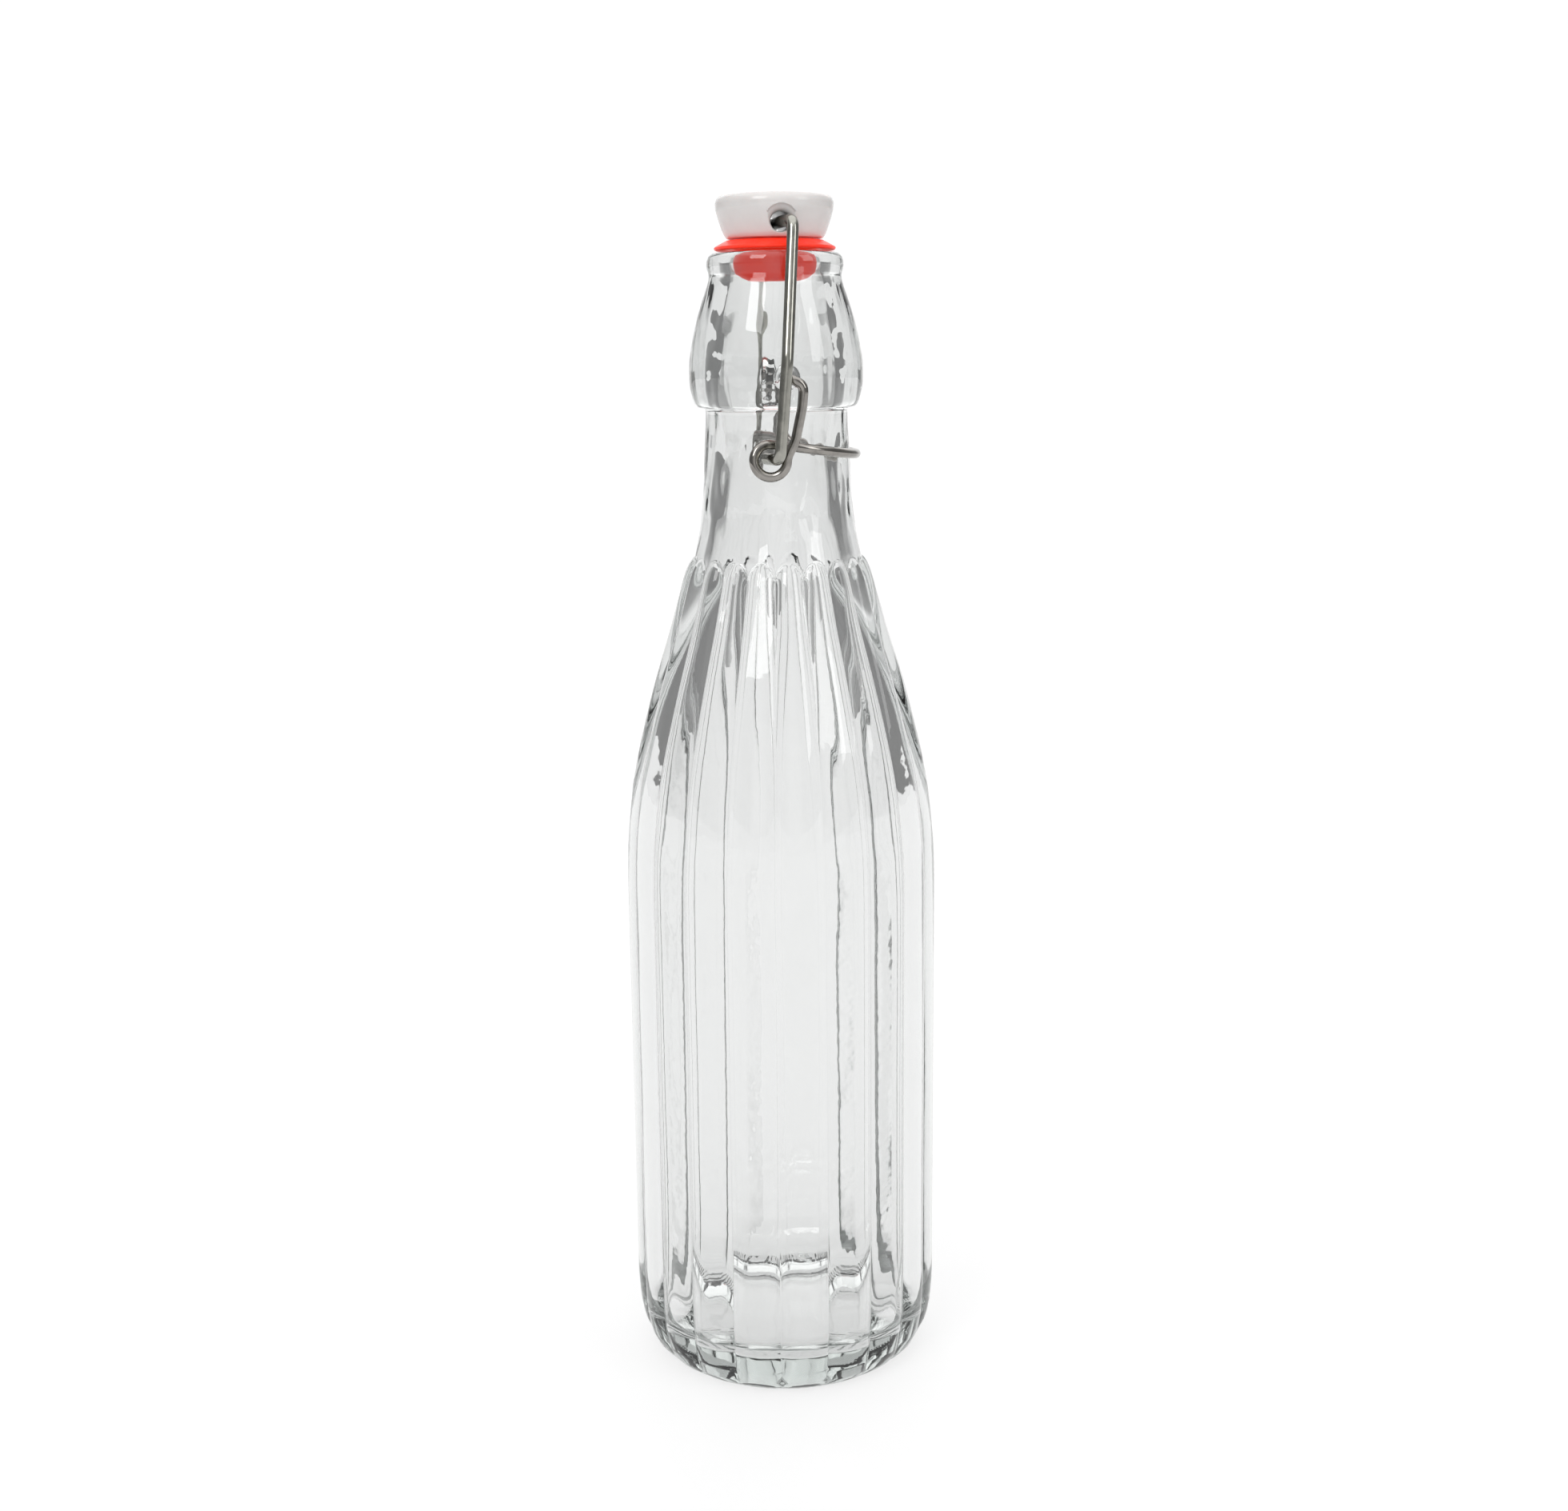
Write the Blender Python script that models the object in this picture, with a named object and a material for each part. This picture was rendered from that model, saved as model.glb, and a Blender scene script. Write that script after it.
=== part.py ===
"""Swing-top glass bottle: ribbed bottle, locking lever, stopper bail, stopper head and seal gasket.

Metres, +Z up. The origin is the centre of the standing ring. The lever's pivot line runs along Y,
and the lever's handle is at the front, +X.
"""
import math

import bmesh
import bpy
import numpy as np
from mathutils import Matrix, Vector

MM = 0.001

# glass
RIB_COUNT = 20
STEPS_PER_RIB = 4
INNER_STEPS = 48
PIT_RADIUS = 1.62
PIT_FLOOR_Y = 18.8
DISH_RADIUS = 6.7
DISH_CENTRE_Y = 27.3

# closure
PIVOT_Z = 255.9
PIN_END_Y = 19.25
ARM_Y = 23.4
LEVER_WIRE = 1.19
EYE_X = -4.3
EYE_Z = 236.5
EYE_RADIUS = 3.9
EYE_INNER_Y = 20.75
HANDLE_X = 19.7
HANDLE_Y = 20.75
HANDLE_Z = 236.9
HANDLE_SLOPE = 0.15

HOOK_X = -3.7
HOOK_BEND_X = -2.5
HOOK_SLANT = 0.33
HOOK_Z = 236.85
HOOK_TIP_Y = 18.9
BAIL_WIRE = 1.42
LEG_Y = 26.42
LEG_BEND_Z = 260.0
TOP_Y = 17.45
TOP_X = 2.3
HOLE_WIRE_X = 0.5
HOLE_WIRE_Y = 10.5
STOPPER_Z = 292.4

HEAD_BASE_Z = 288.85
HOLE_RADIUS = 2.3
COUNTERSINK_RADIUS = 3.2
COUNTERSINK_FLOOR_Y = 10.6
COUNTERSINK_MOUTH_Y = 13.3
SPIGOT_RADIUS = 3.6

# rib crests and the valleys between them, as (height, crest radius, valley radius)
FLUTE_LINE = [
    (0.0, 33.0, 33.0), (0.9, 34.8, 34.5), (3.0, 36.8, 36.0), (6.5, 38.4, 37.2), (12.0, 39.5, 38.15),
    (20.0, 40.0, 38.6), (128.0, 40.0, 38.6), (136.7, 39.8, 38.35), (145.1, 39.1, 37.6),
    (153.6, 38.1, 36.55), (162.0, 36.5, 34.9), (170.2, 34.5, 32.8), (178.5, 32.3, 30.5),
    (187.0, 29.75, 27.9), (195.0, 27.3, 25.3), (200.0, 25.85, 23.85), (204.0, 24.75, 22.7),
    (206.5, 23.95, 22.05), (208.3, 23.2, 21.7), (209.8, 22.3, 21.4), (211.0, 21.4, 21.15),
]
# neck, collar and lip as (height, radius)
NECK_LINE = [
    (212.5, 20.85), (216.0, 20.1), (219.5, 19.5), (227.5, 18.6), (235.0, 18.25), (241.0, 17.9),
    (247.6, 17.6), (248.5, 17.95), (248.9, 19.2), (249.8, 20.3), (251.4, 20.95), (253.6, 21.4),
    (256.6, 21.55), (259.4, 21.45), (262.6, 21.0), (266.6, 20.2), (270.4, 19.25), (274.2, 18.05),
    (278.0, 16.75), (279.8, 16.3), (280.9, 16.35), (282.2, 16.7), (283.7, 16.75), (284.9, 16.2),
    (285.55, 15.2),
]
# inside of the bottle from the mouth down to the middle of the floor, as (height, radius)
INSIDE_LINE = [
    (285.55, 12.4), (285.25, 11.8), (284.3, 11.3), (282.6, 11.15), (280.6, 11.2), (278.0, 11.6),
    (272.0, 12.5), (266.0, 13.4), (258.0, 14.0), (253.0, 13.8), (248.5, 13.1), (244.0, 12.8),
    (238.0, 13.0), (230.0, 13.6), (222.0, 14.5), (216.0, 15.7), (210.5, 17.3), (205.0, 19.3),
    (199.0, 21.5), (190.0, 24.5), (180.0, 27.8), (170.0, 30.7), (160.0, 33.0), (150.0, 34.9),
    (138.0, 36.1), (124.0, 36.4), (20.0, 36.4), (13.5, 35.5), (9.5, 33.0), (7.8, 28.5),
    (8.4, 20.0), (9.6, 10.0),
]
INSIDE_FLOOR_Z = 10.0
# push-up under the base, from the standing ring inwards, as (height, radius)
UNDERSIDE_LINE = [(0.0, 29.4), (0.9, 27.2), (3.0, 20.0), (4.5, 10.0)]
UNDERSIDE_CENTRE_Z = 4.9

HEAD_LINE = [
    (288.85, 11.9), (291.3, 12.95), (294.3, 13.95), (296.6, 14.45), (297.7, 14.35), (298.6, 13.8),
    (299.2, 12.6), (299.5, 10.6), (299.65, 5.0),
]
HEAD_TOP_Z = 299.7
GASKET_LINE = [
    (288.55, 4.0), (288.55, 12.0), (287.0, 14.85), (286.55, 14.9), (286.1, 14.4), (286.1, 10.9),
    (285.6, 10.6), (283.5, 10.25), (281.9, 9.95), (280.9, 9.45), (279.6, 8.65), (278.7, 7.85),
    (278.0, 6.7), (277.7, 5.6),
]
SOCKET_FLOOR_Z = 281.0
SPIGOT_END_Z = 281.4


def clear_scene():
    for thing in list(bpy.data.objects):
        bpy.data.objects.remove(thing, do_unlink=True)


def material(name, colour, metallic, roughness, transmission=0.0):
    mat = bpy.data.materials.new(name)
    mat.use_nodes = True
    shader = mat.node_tree.nodes["Principled BSDF"]
    shader.inputs["Base Color"].default_value = (*colour, 1.0)
    shader.inputs["Metallic"].default_value = metallic
    shader.inputs["Roughness"].default_value = roughness
    shader.inputs["Transmission Weight"].default_value = transmission
    return mat


def add_object(name, mesh_data, mat, origin, sharp_degrees=35.0):
    """Turn a bmesh in millimetres into an object whose origin is at the given point."""
    bmesh.ops.recalc_face_normals(mesh_data, faces=mesh_data.faces)
    mesh = bpy.data.meshes.new(name)
    mesh_data.to_mesh(mesh)
    mesh_data.free()
    mesh.transform(Matrix.Translation(-Vector(origin) * MM) @ Matrix.Scale(MM, 4))
    mesh.materials.append(mat)
    for face in mesh.polygons:
        face.use_smooth = True
    mesh.set_sharp_from_angle(angle=math.radians(sharp_degrees))
    thing = bpy.data.objects.new(name, mesh)
    thing.location = Vector(origin) * MM
    bpy.context.scene.collection.objects.link(thing)
    return thing


def ring(mesh_data, radius, height, steps):
    """One circle of vertices; radius is a number or a function of the angle."""
    verts = []
    for i in range(steps):
        angle = 2.0 * math.pi * i / steps
        r = radius(angle) if callable(radius) else radius
        verts.append(mesh_data.verts.new((r * math.cos(angle), r * math.sin(angle), height)))
    return verts


def bridge(mesh_data, lower, upper):
    count = len(lower)
    for i in range(count):
        j = (i + 1) % count
        mesh_data.faces.new((lower[i], lower[j], upper[j], upper[i]))


def close_with_point(mesh_data, loop, height):
    tip = mesh_data.verts.new((0.0, 0.0, height))
    for i in range(len(loop)):
        mesh_data.faces.new((loop[i], loop[(i + 1) % len(loop)], tip))


def join_unequal(mesh_data, outer, inner):
    """Fill the flat band between two circles with different step counts."""
    n, m = len(outer), len(inner)
    i = j = 0
    while i < n or j < m:
        if j >= m or (i < n and (i + 1) / n <= (j + 1) / m):
            mesh_data.faces.new((outer[i % n], outer[(i + 1) % n], inner[j % m]))
            i += 1
        else:
            mesh_data.faces.new((outer[i % n], inner[(j + 1) % m], inner[j % m]))
            j += 1


def cut(target, cutters):
    for cutter in cutters:
        modifier = target.modifiers.new("cut", "BOOLEAN")
        modifier.operation = "DIFFERENCE"
        modifier.solver = "EXACT"
        modifier.object = cutter
    bpy.context.view_layer.update()
    baked = bpy.data.meshes.new_from_object(target.evaluated_get(bpy.context.evaluated_depsgraph_get()))
    target.modifiers.clear()
    target.data = baked
    for face in baked.polygons:
        face.use_smooth = True
    baked.set_sharp_from_angle(angle=math.radians(35.0))
    for cutter in cutters:
        bpy.data.objects.remove(cutter, do_unlink=True)


def flute_radius(crest, valley, steps_per_rib):
    """Convex ribs that meet in sharp valleys; a rib's middle faces the -Y side."""
    pitch = 2.0 * math.pi / RIB_COUNT

    def radius(angle):
        u = ((angle + math.pi / 2.0) / pitch) % 1.0
        u = 2.0 * (u if u <= 0.5 else u - 1.0)
        return valley + (crest - valley) * (1.0 - u * u)

    return radius


def cone_cutter(name, near_radius, far_radius, near_y, far_y, centre_z, yaw, steps=24):
    """A straight or tapered round cutter that lies along the side, -Y, at the given height."""
    data = bmesh.new()
    loops = []
    for y, r in ((near_y, near_radius), (far_y, far_radius)):
        loop = []
        for i in range(steps):
            angle = 2.0 * math.pi * (i + 0.5) / steps
            loop.append(data.verts.new((r * math.cos(angle), -y, r * math.sin(angle) + centre_z)))
        loops.append(loop)
    bridge(data, loops[0], loops[1])
    data.faces.new(loops[0])
    data.faces.new(loops[1])
    data.transform(Matrix.Rotation(yaw, 4, "Z"))
    cutter = add_object(name, data, bpy.data.materials["glass_bottle"], (0.0, 0.0, 0.0))
    cutter.hide_render = True
    cutter.display_type = "WIRE"
    return cutter


def ball_cutter(name, radius, centre):
    data = bmesh.new()
    bmesh.ops.create_icosphere(data, subdivisions=3, radius=radius, matrix=Matrix.Translation(centre))
    cutter = add_object(name, data, bpy.data.materials["glass_bottle"], (0.0, 0.0, 0.0))
    cutter.hide_render = True
    cutter.display_type = "WIRE"
    return cutter


def build_bottle(mat):
    data = bmesh.new()
    steps = RIB_COUNT * STEPS_PER_RIB
    loops = []
    for height, crest, valley in FLUTE_LINE:
        loops.append(ring(data, flute_radius(crest, valley, STEPS_PER_RIB), height, steps))
    for height, radius in NECK_LINE:
        loops.append(ring(data, radius, height, steps))
    for lower, upper in zip(loops, loops[1:]):
        bridge(data, lower, upper)
    inside = [ring(data, radius, height, INNER_STEPS) for height, radius in INSIDE_LINE]
    for upper, lower in zip(inside, inside[1:]):
        bridge(data, upper, lower)
    close_with_point(data, inside[-1], INSIDE_FLOOR_Z)
    join_unequal(data, loops[-1], inside[0])
    under = [ring(data, radius, height, INNER_STEPS) for height, radius in UNDERSIDE_LINE]
    join_unequal(data, loops[0], under[0])
    for outer, inner in zip(under, under[1:]):
        bridge(data, outer, inner)
    close_with_point(data, under[-1], UNDERSIDE_CENTRE_Z)
    bottle = add_object("glass_bottle", data, mat, (0.0, 0.0, 0.0))
    cutters = []
    for side, yaw in (("near", 0.0), ("far", math.pi)):
        sign = 1.0 if side == "near" else -1.0
        cutters.append(cone_cutter("pit_" + side, PIT_RADIUS, PIT_RADIUS, PIT_FLOOR_Y, 30.0, PIVOT_Z, yaw))
        cutters.append(ball_cutter("dish_" + side, DISH_RADIUS, (0.0, -sign * DISH_CENTRE_Y, PIVOT_Z)))
    cut(bottle, cutters)
    return bottle


def fillet_path(points, radii, steps=5):
    """Replace the inner corners of a polyline with arcs of the given radii."""
    path = [Vector(points[0])]
    for i in range(1, len(points) - 1):
        here = Vector(points[i])
        back = (Vector(points[i - 1]) - here).normalized()
        ahead = (Vector(points[i + 1]) - here).normalized()
        half = back.angle(ahead) / 2.0
        if radii[i] <= 0.0 or half > math.radians(88.0):
            path.append(here)
            continue
        setback = radii[i] / math.tan(half)
        centre = here + (back + ahead).normalized() * radii[i] / math.sin(half)
        first = (here + back * setback - centre).normalized()
        last = (here + ahead * setback - centre).normalized()
        for k in range(steps + 1):
            path.append(centre + radii[i] * first.slerp(last, k / steps))
    path.append(Vector(points[-1]))
    return path


def wire_mesh(path, radius, sides=10):
    """Sweep a round section along a path without twisting it."""
    data = bmesh.new()
    tangents = []
    for i in range(len(path)):
        before = path[max(i - 1, 0)]
        after = path[min(i + 1, len(path) - 1)]
        tangents.append((after - before).normalized())
    normal = tangents[0].orthogonal().normalized()
    loops = []
    for i, point in enumerate(path):
        if i:
            normal = tangents[i - 1].rotation_difference(tangents[i]) @ normal
        normal = (normal - tangents[i] * normal.dot(tangents[i])).normalized()
        side = tangents[i].cross(normal)
        loop = []
        for k in range(sides):
            angle = 2.0 * math.pi * k / sides
            loop.append(data.verts.new(point + radius * (math.cos(angle) * normal + math.sin(angle) * side)))
        loops.append(loop)
    for lower, upper in zip(loops, loops[1:]):
        bridge(data, lower, upper)
    data.faces.new(loops[0])
    data.faces.new(loops[-1])
    return data


def lever_half(side):
    """Pin, arm, eye loop and half of the handle; side is -1 for the near half and 1 for the far half."""
    pin = [
        (0.0, side * PIN_END_Y, PIVOT_Z),
        (0.0, side * (ARM_Y + 0.1), PIVOT_Z),
        (3.75, side * ARM_Y, PIVOT_Z - 1.7),
        (3.3, side * ARM_Y, 249.0),
        (1.55, side * ARM_Y, 240.9),
        (EYE_X + EYE_RADIUS + 0.42, side * ARM_Y, EYE_Z + 1.7),
    ]
    path = fillet_path(pin, [0.0, 1.7, 2.0, 6.0, 6.0, 0.0])
    turns = 14
    for k in range(turns + 1):
        angle = math.radians(8.0 - 270.0 * k / turns)
        y = ARM_Y + (EYE_INNER_Y - ARM_Y) * max(0.0, (k - 2) / (turns - 2))
        path.append(Vector((EYE_X + EYE_RADIUS * math.cos(angle), side * y, EYE_Z + EYE_RADIUS * math.sin(angle))))
    for k in range(13):
        angle = math.radians(86.0 - 86.0 * k / 12)
        x = HANDLE_X * math.cos(angle)
        path.append(Vector((x, side * HANDLE_Y * math.sin(angle), HANDLE_Z + HANDLE_SLOPE * (HANDLE_X - x))))
    return path


def build_lever(mat):
    near = lever_half(-1.0)
    far = lever_half(1.0)
    path = near + far[-2::-1]
    return add_object("locking_lever", wire_mesh(path, LEVER_WIRE), mat, (0.0, 0.0, PIVOT_Z), 40.0)


def bail_half(side):
    """Half of the cross wire, one leg and its hook; the top corners sit to opposite sides of the middle."""
    top_x = -side * TOP_X

    def leg_x(height):
        rise = (height - HOOK_Z) / (STOPPER_Z - HOOK_Z)
        return HOOK_BEND_X * (1.0 - rise) + top_x * rise

    return fillet_path(
        [
            (0.0, 0.0, STOPPER_Z),
            (-side * HOLE_WIRE_X, side * HOLE_WIRE_Y, STOPPER_Z),
            (top_x, side * TOP_Y, STOPPER_Z),
            (leg_x(LEG_BEND_Z), side * LEG_Y, LEG_BEND_Z),
            (leg_x(241.5), side * LEG_Y, 241.5),
            (HOOK_BEND_X, side * LEG_Y, HOOK_Z),
            (HOOK_BEND_X - HOOK_SLANT * (LEG_Y - HOOK_TIP_Y), side * HOOK_TIP_Y, HOOK_Z),
        ],
        [0.0, 9.0, 2.4, 12.0, 0.0, 1.9, 0.0],
    )


def build_bail(mat):
    near = bail_half(-1.0)
    far = bail_half(1.0)
    path = near[::-1] + far[1:]
    return add_object("stopper_bail", wire_mesh(path, BAIL_WIRE), mat, (HOOK_X, 0.0, HOOK_Z), 40.0)


def build_head(mat):
    data = bmesh.new()
    steps = 48
    spigot = [ring(data, SPIGOT_RADIUS - 0.4, SPIGOT_END_Z, steps), ring(data, SPIGOT_RADIUS, SPIGOT_END_Z + 0.5, steps)]
    spigot.append(ring(data, SPIGOT_RADIUS, HEAD_BASE_Z, steps))
    loops = spigot + [ring(data, radius, height, steps) for height, radius in HEAD_LINE]
    for lower, upper in zip(loops, loops[1:]):
        bridge(data, lower, upper)
    close_with_point(data, loops[0], SPIGOT_END_Z)
    close_with_point(data, loops[-1], HEAD_TOP_Z)
    head = add_object("stopper_head", data, mat, (0.0, 0.0, 0.0))
    cutters = [cone_cutter("cross_hole", HOLE_RADIUS, HOLE_RADIUS, -20.0, 20.0, STOPPER_Z, 0.0)]
    flare = (COUNTERSINK_RADIUS - HOLE_RADIUS) / (COUNTERSINK_MOUTH_Y - COUNTERSINK_FLOOR_Y)
    far_radius = COUNTERSINK_RADIUS + flare * (18.0 - COUNTERSINK_MOUTH_Y)
    start_radius = HOLE_RADIUS - flare
    for yaw in (0.0, math.pi):
        cutters.append(
            cone_cutter("countersink", start_radius, far_radius, COUNTERSINK_FLOOR_Y - 1.0, 18.0, STOPPER_Z, yaw, 31)
        )
    cut(head, cutters)
    shift = Vector((0.0, 0.0, STOPPER_Z)) * MM
    head.data.transform(Matrix.Translation(-shift))
    head.location = shift
    return head


def build_gasket(mat):
    data = bmesh.new()
    steps = 48
    loops = [ring(data, radius, height, steps) for height, radius in GASKET_LINE]
    for lower, upper in zip(loops, loops[1:]):
        bridge(data, lower, upper)
    close_with_point(data, loops[-1], GASKET_LINE[-1][0])
    socket = ring(data, GASKET_LINE[0][1], SOCKET_FLOOR_Z, steps)
    bridge(data, loops[0], socket)
    close_with_point(data, socket, SOCKET_FLOOR_Z)
    return add_object("seal_gasket", data, mat, (0.0, 0.0, STOPPER_Z))


def build():
    clear_scene()
    glass = material("glass_bottle", (0.90, 0.95, 0.92), 0.0, 0.03, 1.0)
    lever_steel = material("locking_lever", (0.42, 0.41, 0.40), 1.0, 0.25)
    bail_steel = material("stopper_bail", (0.55, 0.54, 0.52), 1.0, 0.25)
    porcelain = material("stopper_head", (0.86, 0.84, 0.83), 0.0, 0.2)
    rubber = material("seal_gasket", (0.80, 0.05, 0.02), 0.0, 0.5)
    build_bottle(glass)
    build_lever(lever_steel)
    build_bail(bail_steel)
    build_head(porcelain)
    build_gasket(rubber)


build()
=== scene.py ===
import math

import bmesh
import bpy
import numpy as np
from mathutils import Matrix, Vector, noise


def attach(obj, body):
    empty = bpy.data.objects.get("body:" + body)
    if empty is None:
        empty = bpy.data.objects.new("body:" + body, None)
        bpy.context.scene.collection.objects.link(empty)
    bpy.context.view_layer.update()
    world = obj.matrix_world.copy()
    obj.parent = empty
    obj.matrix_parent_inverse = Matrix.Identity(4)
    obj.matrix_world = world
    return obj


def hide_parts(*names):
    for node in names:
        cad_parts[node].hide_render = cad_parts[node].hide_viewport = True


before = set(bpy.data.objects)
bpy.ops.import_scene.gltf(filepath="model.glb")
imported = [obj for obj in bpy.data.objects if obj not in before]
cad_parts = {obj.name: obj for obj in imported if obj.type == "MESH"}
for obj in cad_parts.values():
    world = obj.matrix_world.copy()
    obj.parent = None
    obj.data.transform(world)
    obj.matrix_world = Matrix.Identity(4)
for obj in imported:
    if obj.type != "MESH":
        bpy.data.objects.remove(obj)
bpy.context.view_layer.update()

# One drawing millimetre in metres. Lengths are in drawing millimetres, and in metres in the materials and the studio.
UNIT = 0.001

# ---------------------------------------------------------------- lever and bail
PIVOT_Z = 255.9
PIN_END_Y = 19.25
ARM_Y = 23.4
LEVER_WIRE = 1.19
EYE_X = -4.3
EYE_Z = 236.5
EYE_RADIUS = 3.9
EYE_INNER_Y = 20.75
EYE_STEPS = 60
EYE_FLAT_STEPS = 8
EYE_START_DEG = 8.0
EYE_SWEEP_DEG = 270.0
HANDLE_X = 19.7
HANDLE_Y = 20.75
HANDLE_Z = 236.9
HANDLE_SLOPE = 0.15
HANDLE_STEPS = 60
HANDLE_START_DEG = 86.0
HOOK_BEND_X = -2.5
HOOK_SLANT = 0.33
HOOK_Z = 236.85
HOOK_TIP_Y = 18.9
BAIL_WIRE = 1.42
LEG_Y = 26.42
LEG_BEND_Z = 260.0
LEG_LOW_Z = 241.5
TOP_Y = 17.45
TOP_X = 2.3
HOLE_WIRE_X = 0.5
HOLE_WIRE_Y = 10.5
STOPPER_Z = 292.4

# every wire: its mesh, its slightly rounded cut ends and its faint unevenness
WIRE_SIDES = 28
WIRE_SPACING = 0.3
FILLET_STEPS = 14
SMOOTHING_PASSES = 6
CUT_END_LENGTH = 0.35
CUT_END_SHRINK = 0.30
WIRE_UNEVENNESS = 0.006
UV_PER_MM = 0.01

# ---------------------------------------------------------------- bottle
RIB_COUNT = 20
RIB_COLUMNS = 12
RIB_ROUNDNESS = 0.78
RIB_END_START = 205.5
RIB_END_START_DROP = 1.2
RIB_END_TOP = 211.6
RIB_END_DROP = 3.4
RIB_END_LAST_ROW = 212.3
RIB_TIP_POWER = 2.6
KNURL_COUNT = 108.0

# the distance between mesh rows in each part of the bottle's outline
UNDERSIDE_SPACING = 1.2
FLUTE_SPACING = 2.7
RIB_END_SPACING = 0.36
NECK_SPACING = 1.0
INSIDE_SPACING = 2.3

# the two faint mould seams up the neck
SEAM_DEGREES = (-40.0, 140.0)
SEAM_HEIGHT = 0.10
SEAM_WIDTH = 0.35

# unevenness of the inner wall as (depth, seed, waves around, pace upward)
WALL_WAVES = [(0.34, 3.1, 2.2, 0.03), (0.10, 9.7, 6.5, 0.045), (0.03, 5.3, 13.0, 0.06)]
NECK_WAVE = (0.26, 1.7, 4.5, 0.13)
CALM_SHARE = 0.22
CALM_TOP = 110.0
LIVELY_RISE = 50.0
INNER_FLUTE_DEPTH = 0.16
NECK_WAVE_LOW = 212.0
NECK_WAVE_HIGH = 281.0

# heel, body and shoulder as (height, crest radius, valley radius)
FLUTE_LINE = [
    (0.0, 33.0, 33.0), (0.25, 34.0, 33.8), (0.9, 34.9, 34.5), (3.0, 36.8, 36.0), (6.5, 38.4, 37.2),
    (12.0, 39.5, 38.15), (20.0, 40.0, 38.6), (60.0, 40.0, 38.6), (100.0, 40.0, 38.6),
    (128.0, 40.0, 38.6), (136.7, 39.8, 38.35), (145.1, 39.1, 37.6), (153.6, 38.1, 36.55),
    (162.0, 36.5, 34.9), (170.2, 34.5, 32.8), (178.5, 32.3, 30.5), (187.0, 29.75, 27.9),
    (195.0, 27.3, 25.3), (200.0, 25.85, 23.85), (204.0, 24.75, 22.75), (207.0, 23.9, 21.95),
    (212.5, 22.3, 20.85),
]
# neck, collar and lip as (height, radius)
NECK_LINE = [
    (212.5, 20.85), (216.0, 20.1), (219.5, 19.5), (227.5, 18.6), (235.0, 18.25), (241.0, 17.9),
    (245.35, 17.68), (245.5, 17.76), (245.7, 17.76), (245.85, 17.66), (247.7, 17.6), (248.1, 17.7),
    (248.4, 18.1), (248.55, 18.9), (248.75, 19.6), (249.3, 20.15), (250.2, 20.55), (251.6, 20.98),
    (253.6, 21.4), (256.6, 21.55), (259.4, 21.45), (262.6, 21.0), (266.6, 20.2), (270.4, 19.25),
    (274.2, 18.05), (277.6, 16.85), (279.4, 16.36), (280.2, 16.28), (280.8, 16.4), (281.6, 16.65),
    (282.6, 16.8), (283.6, 16.75), (284.5, 16.45), (285.15, 15.95), (285.5, 15.3), (285.55, 14.6),
]
# the inside from the mouth down to the floor as (height, radius)
INSIDE_LINE = [
    (285.55, 12.4), (285.25, 11.8), (284.3, 11.3), (282.6, 11.15), (280.6, 11.2), (278.0, 11.6),
    (272.0, 12.5), (266.0, 13.4), (258.0, 14.0), (253.0, 13.8), (248.5, 13.1), (244.0, 12.8),
    (238.0, 13.0), (230.0, 13.6), (222.0, 14.5), (216.0, 15.7), (210.5, 17.3), (205.0, 19.3),
    (199.0, 21.5), (190.0, 24.5), (180.0, 27.8), (170.0, 30.7), (160.0, 33.0), (150.0, 34.9),
    (138.0, 36.1), (124.0, 36.4), (90.0, 36.4), (50.0, 36.4), (23.0, 36.35), (14.5, 35.1),
    (10.2, 32.3), (8.3, 28.0), (8.5, 20.0), (9.6, 10.0), (10.0, 0.6),
]
# underside from the middle out to the standing ring as (height, radius)
UNDERSIDE_LINE = [
    (4.9, 0.6), (4.5, 10.0), (3.0, 20.0), (0.9, 27.2), (0.25, 28.7), (0.0, 29.6), (0.0, 33.0),
]
# the pivot pits as (distance from the middle, radius)
PIT_PROFILE = [
    (30.0, 3.9), (23.5, 3.9), (21.15, 3.05), (20.8, 2.5), (20.55, 1.95), (20.2, 1.68), (18.9, 1.62),
]
PIT_STEPS = 48

# ---------------------------------------------------------------- stopper
STOPPER_COLUMNS = 160
HEAD_SPACING = 0.35
GASKET_SPACING = 0.25
HOLE_STEPS = 64
# the head from its bottom middle and the seal from its top middle, around the outside, as (height, radius)
HEAD_LINE = [
    (288.85, 0.5), (288.85, 10.8), (289.0, 11.7), (289.5, 12.15), (291.3, 12.98), (294.3, 13.98),
    (296.2, 14.42), (297.2, 14.45), (298.2, 14.15), (298.95, 13.45), (299.4, 12.3), (299.58, 10.5),
    (299.66, 5.0), (299.7, 0.5),
]
GASKET_LINE = [
    (288.55, 0.5), (288.55, 11.4), (288.5, 11.9), (288.35, 12.2), (287.3, 14.2), (287.0, 14.72),
    (286.75, 14.9), (286.45, 14.85), (286.2, 14.5), (286.1, 13.9), (286.1, 11.3), (286.0, 10.8),
    (285.6, 10.55), (283.5, 10.22), (281.9, 9.92), (280.9, 9.42), (279.6, 8.6), (278.7, 7.8),
    (278.05, 6.8), (277.75, 5.8), (277.7, 4.6), (277.7, 0.5),
]
# the stopper's cross hole from its middle outward as (distance from the middle, radius)
HOLE_PROFILE = [
    (0.0, 2.3), (10.0, 2.3), (11.2, 2.36), (12.2, 2.55), (12.8, 2.8), (13.15, 3.1), (13.4, 3.5),
    (13.6, 4.0), (18.0, 4.2),
]


# ---------------------------------------------------------------- mesh helpers
def clamp(value):
    return min(1.0, max(0.0, value))


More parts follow.
